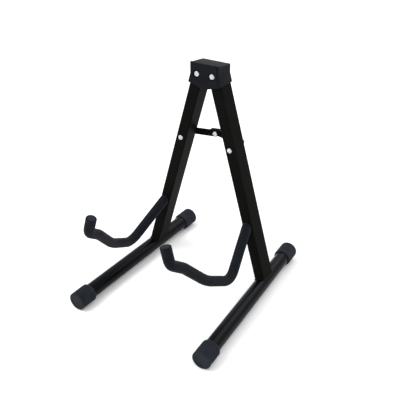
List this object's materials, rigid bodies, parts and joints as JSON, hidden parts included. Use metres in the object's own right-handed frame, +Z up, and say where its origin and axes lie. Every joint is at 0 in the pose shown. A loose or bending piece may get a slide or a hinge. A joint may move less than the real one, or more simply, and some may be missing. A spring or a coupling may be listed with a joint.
{
  "type": "folding guitar stand",
  "caption": "Folding A-frame instrument stand: rectangular legs on tubular feet, padded cradle arms, moulded head and a two-link folding brace.",
  "frame": {"origin": "on the floor, at the middle of the stand's footprint", "axes": "+X across the stand to the right of someone facing the cradle, +Y from the cradle to the back, +Z up"},
  "size_m": [0.279, 0.3403, 0.3914],
  "materials": {
    "leg_paint": "semi-gloss black paint",
    "foot_paint": "gloss black paint",
    "head_plastic": "fine-textured moulding",
    "cap_rubber": "matte ribbed rubber",
    "foam": "fine-celled foam with a skin",
    "zinc_steel": "bright zinc plate"
  },
  "bodies": {
    "head": {"head_cover": "head_plastic", "left_head_bolt": "zinc_steel", "right_head_bolt": "zinc_steel", "left_head_nut": "zinc_steel", "right_head_nut": "zinc_steel"},
    "left_leg": {"left_leg_tube": "leg_paint", "left_foot_tube": "foot_paint", "left_front_cap": "cap_rubber", "left_rear_cap": "cap_rubber", "left_cradle_rod": "leg_paint", "left_cradle_foam": "foam", "left_cradle_plug": "cap_rubber", "left_brace_bolt": "zinc_steel", "left_brace_nut": "zinc_steel"},
    "right_leg": {"right_leg_tube": "leg_paint", "right_foot_tube": "foot_paint", "right_front_cap": "cap_rubber", "right_rear_cap": "cap_rubber", "right_cradle_rod": "leg_paint", "right_cradle_foam": "foam", "right_cradle_plug": "cap_rubber", "right_brace_bolt": "zinc_steel"},
    "left_link": {"left_brace_link": "leg_paint"},
    "right_link": {"right_brace_link": "leg_paint", "right_brace_stub": "zinc_steel", "right_brace_spacer": "zinc_steel", "right_brace_nut": "zinc_steel", "middle_bolt": "zinc_steel", "middle_nut": "zinc_steel"}
  },
  "joints": [
    {"name": "left_leg_fold", "type": "hinge", "parent": "head", "child": "left_leg", "pos_m": [-0.0137, 0.06267, 0.37357], "axis": [0, -1, 0], "range_deg": [0, 15]},
    {"name": "right_leg_fold", "type": "hinge", "parent": "head", "child": "right_leg", "pos_m": [0.0137, 0.06267, 0.37357], "axis": [0, 1, 0], "range_deg": [0, 15]},
    {"name": "left_link_fold", "type": "hinge", "parent": "left_leg", "child": "left_link", "pos_m": [-0.04674, 0.06267, 0.25758], "axis": [0, -1, 0], "range_deg": [0, 48.99]},
    {"name": "right_link_fold", "type": "hinge", "parent": "left_link", "child": "right_link", "pos_m": [0, 0.06267, 0.26308], "axis": [0, 1, 0], "range_deg": [0, 127.93]}
  ],
  "couplings": [
    {"joint": "right_leg_fold", "follows": "left_leg_fold", "ratio": 1},
    {"joint": "left_link_fold", "follows": "left_leg_fold", "ratio": 3.2625},
    {"joint": "right_link_fold", "follows": "left_leg_fold", "ratio": 8.525}
  ]
}
